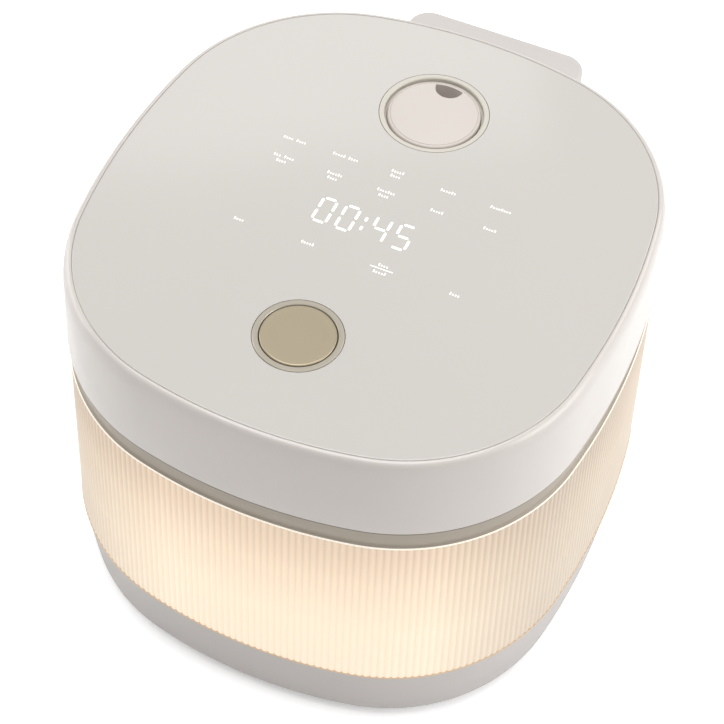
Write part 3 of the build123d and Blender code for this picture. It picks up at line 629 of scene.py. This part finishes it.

# %% [markdown]
# ## Springs
# Three coil springs push back when the button, the latch or the pot's sensor moves. A rigid spring would
# poke through the part that presses it. Each one here is a merged copy of the engineering part, on a mesh
# of its own, and keeps its length.


def spring(node_name, body):
    """A merged copy of a spring, on a mesh of its own, that keeps its length."""
    bm = bmesh.new()
    bm.from_mesh(nodes[node_name].data)
    bmesh.ops.remove_doubles(bm, verts=bm.verts[:], dist=MERGE)
    piece = to_object(bm, node_name + "_coil", body, 60)
    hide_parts(node_name)
    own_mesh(piece)
    return piece


springs = [
    spring("button_spring", "lid"),
    spring("latch_spring", "lid"),
    spring("sensor_spring", "body"),
]

# %% [markdown]
# ## Finishes
# Most of the cooker is moulded plastic, whose surface is never perfectly even: a fine spark-eroded
# grain, a slow drift of colour and a little rubbing. One shader group makes these masks from the
# piece's own coordinates. A second group draws the fine lines of a turned or brushed metal, and
# each material feeds both with its own values.


# %% Node helpers
def new_group(name, inputs, outputs):
    group = bpy.data.node_groups.new(name, "ShaderNodeTree")
    for label, kind, value in inputs:
        socket = group.interface.new_socket(label, in_out="INPUT", socket_type=kind)
        if value is not None:
            socket.default_value = value
    for label in outputs:
        group.interface.new_socket(label, in_out="OUTPUT", socket_type="NodeSocketFloat")
    return group


def node(tree, kind, **settings):
    made = tree.nodes.new(kind)
    for key, value in settings.items():
        setattr(made, key, value)
    return made


def surface_group():
    """Grain height, colour drift and rubbed patches for a moulded or pressed surface."""
    group = new_group(
        "surface_detail",
        [("Grain size", "NodeSocketFloat", 1500.0), ("Drift size", "NodeSocketFloat", 9.0)],
        ("Grain", "Drift", "Rub"),
    )
    start = node(group, "NodeGroupInput")
    end = node(group, "NodeGroupOutput")
    place = node(group, "ShaderNodeTexCoord")
    grain = node(group, "ShaderNodeTexNoise")
    drift = node(group, "ShaderNodeTexNoise")
    rub = node(group, "ShaderNodeTexNoise")
    rub.inputs["Scale"].default_value = 24
    rub.inputs["Detail"].default_value = 3
    for texture in (grain, drift, rub):
        group.links.new(place.outputs["Object"], texture.inputs["Vector"])
    group.links.new(start.outputs["Grain size"], grain.inputs["Scale"])
    group.links.new(start.outputs["Drift size"], drift.inputs["Scale"])
    for label, texture in (("Grain", grain), ("Drift", drift), ("Rub", rub)):
        group.links.new(texture.outputs["Fac"], end.inputs[label])
    return group


def line_group():
    """Fine lines of two sizes, for a brushed or turned metal, along whatever vector comes in."""
    group = new_group("metal_lines", [("Vector", "NodeSocketVector", None)], ("Lines",))
    start = node(group, "NodeGroupInput")
    end = node(group, "NodeGroupOutput")
    fine = node(group, "ShaderNodeTexNoise")
    fine.inputs["Scale"].default_value = 1.0
    fine.inputs["Detail"].default_value = 4
    wide = node(group, "ShaderNodeTexNoise")
    wide.inputs["Scale"].default_value = 0.22
    total = node(group, "ShaderNodeMath", operation="MULTIPLY_ADD")
    total.inputs[1].default_value = 0.6
    share = node(group, "ShaderNodeMath", operation="MULTIPLY")
    share.inputs[1].default_value = 0.4
    for texture in (fine, wide):
        group.links.new(start.outputs["Vector"], texture.inputs["Vector"])
    group.links.new(wide.outputs["Fac"], share.inputs[0])
    group.links.new(fine.outputs["Fac"], total.inputs[0])
    group.links.new(share.outputs["Value"], total.inputs[2])
    group.links.new(total.outputs["Value"], end.inputs["Lines"])
    return group


SURFACE = surface_group()
LINES = line_group()


def srgb(red, green, blue):
    """Screen colour, 0 to 255, as the linear values that a shader takes."""
    def linear(value):
        part = value / 255
        return part / 12.92 if part <= 0.04045 else ((part + 0.055) / 1.055) ** 2.4
    return linear(red), linear(green), linear(blue)


def spread(tree, source, target, low, high, source_low=0.3, source_high=0.7):
    """Sends a mask to a socket, stretched to run from low to high."""
    span = node(tree, "ShaderNodeMapRange")
    span.inputs["From Min"].default_value = source_low
    span.inputs["From Max"].default_value = source_high
    span.inputs["To Min"].default_value = low
    span.inputs["To Max"].default_value = high
    tree.links.new(source, span.inputs["Value"])
    tree.links.new(span.outputs["Result"], target)


def finish(
    name, colour, rough, shade=0.94, grain=1500, bump=0.03, metal=0.0, coat=0.0, drift=9.0,
    rough_span=0.06,
):
    """A material whose colour, roughness and relief come from the shared surface group."""
    material = bpy.data.materials.new(name)
    material.use_nodes = True
    tree = material.node_tree
    shader = tree.nodes["Principled BSDF"]
    shader.inputs["Metallic"].default_value = metal
    shader.inputs["Coat Weight"].default_value = coat
    shader.inputs["Coat Roughness"].default_value = 0.08
    detail = node(tree, "ShaderNodeGroup", node_tree=SURFACE)
    detail.inputs["Grain size"].default_value = grain
    detail.inputs["Drift size"].default_value = drift
    mix = node(tree, "ShaderNodeMix", data_type="RGBA")
    light = srgb(*colour)
    mix.inputs["A"].default_value = (*[part * shade for part in light], 1)
    mix.inputs["B"].default_value = (*light, 1)
    spread(tree, detail.outputs["Drift"], mix.inputs["Factor"], 0, 1)
    tree.links.new(mix.outputs["Result"], shader.inputs["Base Color"])
    spread(tree, detail.outputs["Rub"], shader.inputs["Roughness"], rough - rough_span, rough + rough_span)
    relief = node(tree, "ShaderNodeBump", name="relief")
    relief.inputs["Strength"].default_value = bump
    relief.inputs["Distance"].default_value = 0.1 * MM
    tree.links.new(detail.outputs["Grain"], relief.inputs["Height"])
    tree.links.new(relief.outputs["Normal"], shader.inputs["Normal"])
    return material


def lined(material, vector, strength, rough):
    """Draws metal lines along a vector, in the roughness and the relief of a finish."""
    tree = material.node_tree
    lines = node(tree, "ShaderNodeGroup", node_tree=LINES)
    tree.links.new(vector, lines.inputs["Vector"])
    shader = tree.nodes["Principled BSDF"]
    spread(tree, lines.outputs["Lines"], shader.inputs["Roughness"], rough - 0.09, rough + 0.09)
    relief = tree.nodes["relief"]
    relief.inputs["Strength"].default_value = strength
    tree.links.new(lines.outputs["Lines"], relief.inputs["Height"])
    return material


def brushed_vector(material, scale):
    """Object coordinates stretched so that noise becomes long streaks."""
    tree = material.node_tree
    place = node(tree, "ShaderNodeTexCoord")
    stretch = node(tree, "ShaderNodeMapping")
    stretch.inputs["Scale"].default_value = scale
    tree.links.new(place.outputs["Object"], stretch.inputs["Vector"])
    return stretch.outputs["Vector"]


def ring_vector(material, y, scale):
    """The distance from an upright line through y, so that noise becomes turned rings."""
    tree = material.node_tree
    place = node(tree, "ShaderNodeTexCoord")
    flat = node(tree, "ShaderNodeMapping")
    flat.inputs["Location"].default_value = (0, -y, 0)
    flat.inputs["Scale"].default_value = (1, 1, 0)
    length = node(tree, "ShaderNodeVectorMath", operation="LENGTH")
    stretch = node(tree, "ShaderNodeVectorMath", operation="SCALE")
    stretch.inputs["Scale"].default_value = scale
    joined = node(tree, "ShaderNodeCombineXYZ")
    tree.links.new(place.outputs["Object"], flat.inputs["Vector"])
    tree.links.new(flat.outputs["Vector"], length.inputs[0])
    tree.links.new(length.outputs["Value"], joined.inputs["X"])
    tree.links.new(joined.outputs["Vector"], stretch.inputs[0])
    return stretch.outputs["Vector"]


# %% [markdown]
# The white casings share one warm white, a satin moulding under a thin gloss. The glass is painted
# on its back, so it looks like an even, glossy, slightly greyer sheet. The button is champagne
# metal turned on a lathe, which leaves fine rings round its middle, and the trim band is brushed
# along its length.

# %% Plastics, glass and rubber
white = finish("white_plastic", (194, 188, 183), 0.34, 0.97, bump=0.05, coat=0.45)
base_white = finish("base_plastic", (187, 182, 179), 0.46, 0.97, bump=0.08)
seat_white = finish("seat_plastic", (193, 188, 178), 0.4, 0.98, bump=0.05)
cap_white = finish("cap_plastic", (196, 189, 182), 0.4, 0.98, bump=0.05)
glass = finish("touch_glass", (188, 184, 179), 0.12, 0.965, bump=0.0, coat=0.5, rough_span=0.015, drift=4)
dark = finish("component_dark", (40, 40, 42), 0.5, 0.8)
green = finish("board_green", (30, 92, 54), 0.35, 0.8, coat=0.3, drift=60)
coating = finish("pot_coating", (60, 58, 57), 0.42, 0.7, grain=2200, bump=0.3, drift=900)
rubber_and_gap_shadow = finish("foot_rubber", (64, 63, 62), 0.75, 0.85, grain=2600, bump=0.3)
silicone = finish("seal_silicone", (176, 172, 167), 0.5, 0.95)
black = finish("socket_black", (28, 28, 29), 0.42, 0.8)
reflector = finish("reflector_white", (236, 231, 222), 0.6, 0.97)

# %% Metals
champagne = finish("champagne_metal", (168, 156, 133), 0.34, 0.97, metal=0.6)
lined(champagne, ring_vector(champagne, BUTTON_Y, 2600), 0.1, 0.36)
bright = finish("bright_metal", (172, 165, 151), 0.34, 0.97, metal=0.4)
lined(bright, ring_vector(bright, BUTTON_Y, 2600), 0.05, 0.34)
band = finish("band_metal", (163, 153, 140), 0.42, 0.95, metal=0.2)
lined(band, brushed_vector(band, (30, 30, 3200)), 0.12, 0.42)
steel = finish("steel", (176, 176, 174), 0.34, 0.9, metal=0.95, grain=2600, bump=0.1)
aluminium = finish("bare_aluminium", (198, 198, 196), 0.38, 0.93, metal=0.95)
lined(aluminium, ring_vector(aluminium, AXIS_Y, 1800), 0.1, 0.38)
brass = finish("pin_brass", (206, 182, 120), 0.28, 0.9, metal=0.95)

# %% [markdown]
# The panel is milky plastic with lamps behind its foot. Light that soaks through it is not a
# reflection, so it is an emission of its own: strongest in the lower half, weaker and warmer near
# the top, and weaker towards the left and the right side. The grooves are dimmer than the crests,
# the more so near the top. The place comes from the piece's own coordinates, and the groove mask
# from the value written on its mesh.

# %% Light that soaks through
GLOW_STEPS = [
    (0.0, (225, 207, 182)), (0.35, (227, 208, 181)), (0.7, (218, 195, 166)), (0.9, (203, 178, 149)),
    (1.0, (197, 172, 144)),
]
LEFT_GLOW, LEFT_START = 0.42, 40 * MM
RIGHT_GLOW, RIGHT_START = 0.52, 86 * MM


def glow_by_height(material, low_groove, high_groove, strength):
    """Emission that follows height, side and rib, with a groove's share low down and at the top."""
    tree = material.node_tree
    shader = tree.nodes["Principled BSDF"]
    place = node(tree, "ShaderNodeTexCoord")
    split = node(tree, "ShaderNodeSeparateXYZ")
    tree.links.new(place.outputs["Object"], split.inputs["Vector"])
    ramp = node(tree, "ShaderNodeValToRGB")
    steps = ramp.color_ramp.elements
    while len(steps) < len(GLOW_STEPS):
        steps.new(0.5)
    for step, (share, colour) in zip(steps, GLOW_STEPS):
        step.position = share
        step.color = (*srgb(*colour), 1)
    spread(tree, split.outputs["Z"], ramp.inputs["Fac"], 0, 1, panel_low.z, panel_high.z)
    middle = (panel_low.z + panel_high.z) / 2
    crest = node(tree, "ShaderNodeAttribute", attribute_name="crest")
    shade = node(tree, "ShaderNodeVectorMath", operation="SCALE")
    tree.links.new(ramp.outputs["Color"], shade.inputs[0])
    rib = node(tree, "ShaderNodeMath", operation="MULTIPLY")
    sides = node(tree, "ShaderNodeMath", operation="MULTIPLY")
    spread(tree, split.outputs["X"], sides.inputs[0], LEFT_GLOW, 1, -HALF_WIDTH, -LEFT_START)
    spread(tree, split.outputs["X"], sides.inputs[1], 1, RIGHT_GLOW, RIGHT_START, HALF_WIDTH)
    groove = node(tree, "ShaderNodeMapRange")
    tree.links.new(crest.outputs["Fac"], groove.inputs["Value"])
    spread(tree, split.outputs["Z"], groove.inputs["To Min"], low_groove, high_groove, middle, panel_high.z)
    tree.links.new(groove.outputs["Result"], rib.inputs[0])
    tree.links.new(sides.outputs["Value"], rib.inputs[1])
    tree.links.new(rib.outputs["Value"], shade.inputs["Scale"])
    tree.links.new(shade.outputs["Vector"], shader.inputs["Emission Color"])
    shader.inputs["Emission Strength"].default_value = strength


lit = finish("lit_panel", (142, 132, 122), 0.4, 0.97, bump=0.03, coat=0.12)
glow_by_height(lit, 0.9, 0.74, 1.0)
panel.data.materials.append(lit)


def glowing(name, colour, glow, strength):
    """A finish with an even glow of its own."""
    material = finish(name, colour, 0.4)
    shader = material.node_tree.nodes["Principled BSDF"]
    shader.inputs["Emission Color"].default_value = (*srgb(*glow), 1)
    shader.inputs["Emission Strength"].default_value = strength
    return material


# The ledge glows evenly as a painted highlight, and the foot's dim brown glow is a painted shadow line
# above the base.
ledge_painted_highlight = glowing("ledge_painted_highlight", (226, 220, 208), (226, 219, 206), 0.6)
foot_glow_painted_shadow = glowing("foot_glow_painted_shadow", (150, 134, 114), (196, 166, 132), 0.62)
lamp = glowing("led_lamp", (255, 236, 200), (255, 214, 160), 4.0)
mark_light = glowing("mark_light", (244, 242, 232), (255, 253, 238), 0.55)
# The lid lip's dark colour is painted shadow, the shade of the gap under the lid.
lip_painted_shadow = finish("lip_painted_shadow", (112, 105, 96), 0.6)
for piece, material in (
    (ledge, ledge_painted_highlight), (foot, foot_glow_painted_shadow), (casing, white), (bead, silicone), (cap, cap_white),
    (band_foot, band), (lip, lip_painted_shadow), (seat_step, seat_white),
    (digits, mark_light), (marks, mark_light), (levels, silicone),
):
    piece.data.materials.clear()
    piece.data.materials.append(material)
# The gap rings take the dark rubber finish as painted shadow.
for ring in gap_rings:
    ring.data.materials.append(rubber_and_gap_shadow)
for coil in springs:
    coil.data.materials.append(steel)

# %% [markdown]
# The other parts keep the shape that the engineering model gives them. Each names its material
# slot in the record, so one table carries the finishes over. The base and the hinge housing then
# take a duller white than the lid's, and the vent's seat a warmer one.

# %% Finishes on the carried parts
BY_SLOT = {
    "white_plastic": white, "touch_glass": glass, "champagne_metal": champagne, "bright_metal": bright,
    "band_metal": band, "lit_panel": lit, "reflector_white": reflector, "led_lamp": lamp,
    "board_green": green, "component_dark": dark, "steel": steel, "bare_aluminium": aluminium,
    "pot_coating": coating, "foot_rubber": rubber_and_gap_shadow, "seal_silicone": silicone, "socket_black": black,
    "pin_brass": brass,
}
for entry in frame["record"]["subparts"]:
    carried = nodes[entry["node"]]
    carried.data.materials.clear()
    carried.data.materials.append(BY_SLOT[entry["material_slot"]])
OWN_WHITES = {"base_housing": base_white, "rear_cover": base_white, "vent_seat": seat_white}
for name, material in OWN_WHITES.items():
    nodes[name].data.materials[0] = material
print("materials", len(bpy.data.materials))

# %% [markdown]
# ## Floor
# The cooker stands on a large sheet of pale paper. A lit sheet alone turns grey towards the
# horizon, so the paper and, further down, the sky behind it look whiter to rays that come
# straight from the camera. What they reflect and light up stays as it is.

# %% Floor
FLOOR_HALF_SIZE = 6
PAPER_LIFT = 0.3


def for_camera(tree, socket, otherwise, seen):
    """Gives a socket one value for rays straight from the camera, and another for the rest."""
    rays = node(tree, "ShaderNodeLightPath")
    spread(tree, rays.outputs["Is Camera Ray"], socket, otherwise, seen, 0, 1)


bm = bmesh.new()
bmesh.ops.create_grid(bm, x_segments=2, y_segments=2, size=FLOOR_HALF_SIZE)
floor_mesh = bpy.data.meshes.new("floor")
bm.to_mesh(floor_mesh)
bm.free()
floor = bpy.data.objects.new("floor", floor_mesh)
bpy.context.scene.collection.objects.link(floor)
paper = finish("floor_paper", (249, 249, 249), 0.8, 0.99)
paper_shader = paper.node_tree.nodes["Principled BSDF"]
paper_shader.inputs["Emission Color"].default_value = (1, 1, 1, 1)
for_camera(paper.node_tree, paper_shader.inputs["Emission Strength"], 0, PAPER_LIFT)
floor.data.materials.append(paper)
print("floor", 2 * FLOOR_HALF_SIZE, "m square")

# %% [markdown]
# ## Lights
# Plain studio light: an even white room and five square lamps. The large one above lights the
# glass, and is wide so that its reflection there isn't too bright. One lamp stands on each side and
# none in front, so the front of the lid is darker than its flanks. Two weak lamps behind the cooker
# draw its rear edges.

# %% Lights
ROOM_LIGHT = 0.415
# Each lamp is its place and the point that it faces, in metres, then its side and its watts.
LAMPS = {
    "right_box": ((1.75, 0.25, 0.8), (0, 0, 0.1), 1.3, 18.5),
    "left_box": ((-1.8, 0.0, 0.7), (0, 0, 0.1), 1.2, 13),
    "top_box": ((-0.1, -0.05, 2.4), (0, 0, 0.1), 2.0, 43),
    "rim_box": ((1.1, 1.4, 1.3), (0, 0, 0.2), 0.8, 6),
    "back_box": ((-1.3, 2.2, 1.9), (0, 0, 0.2), 1.3, 5),
}


def soft_light(name, place, aim, size, watts):
    """A square lamp at a place, turned to face another point."""
    data = bpy.data.lights.new(name, "AREA")
    data.size = size
    data.energy = watts
    light = bpy.data.objects.new(name, data)
    light.location = place
    light.rotation_mode = "QUATERNION"
    light.rotation_quaternion = (Vector(aim) - Vector(place)).to_track_quat("-Z", "Y")
    bpy.context.scene.collection.objects.link(light)


world = bpy.data.worlds.new("studio")
bpy.context.scene.world = world
world.use_nodes = True
sky = world.node_tree.nodes["Background"]
sky.inputs["Color"].default_value = (1, 1, 1, 1)
for_camera(world.node_tree, sky.inputs["Strength"], ROOM_LIGHT, 1)
for name, values in LAMPS.items():
    soft_light(name, *values)
print("lamps", len(LAMPS))

# %% [markdown]
# ## Camera
# The camera looks down on the front right of the cooker from about a metre away, through a long
# lens, and is rolled a little. Its three directions are worked out from the angles, and its place
# is measured from the pot's axis and the top of the glass.

# %% Camera
AZIMUTH, ELEVATION, ROLL = map(math.radians, (22.27, 51.04, 2.35))
LENS = 107.95
CAMERA_RIGHT, CAMERA_FRONT, CAMERA_RISE = 251.35 * MM, 616.3 * MM, 719.7 * MM
back = Vector((
    math.sin(AZIMUTH) * math.cos(ELEVATION), -math.cos(AZIMUTH) * math.cos(ELEVATION),
    math.sin(ELEVATION),
))
level_right = (-back).cross(Vector((0, 0, 1))).normalized()
level_up = level_right.cross(-back)
right = level_right * math.cos(ROLL) + level_up * math.sin(ROLL)
up = level_up * math.cos(ROLL) - level_right * math.sin(ROLL)
camera_data = bpy.data.cameras.new("camera")
camera_data.lens = LENS
camera = bpy.data.objects.new("camera", camera_data)
turn = Matrix((right, up, back)).transposed().to_4x4()
place = Vector((CAMERA_RIGHT, AXIS_Y - CAMERA_FRONT, glass_high.z + CAMERA_RISE))
camera.matrix_world = Matrix.Translation(place) @ turn
bpy.context.scene.collection.objects.link(camera)
bpy.context.scene.camera = camera
bpy.context.scene.view_settings.view_transform = "Standard"
print("camera at", [round(c, 3) for c in place])
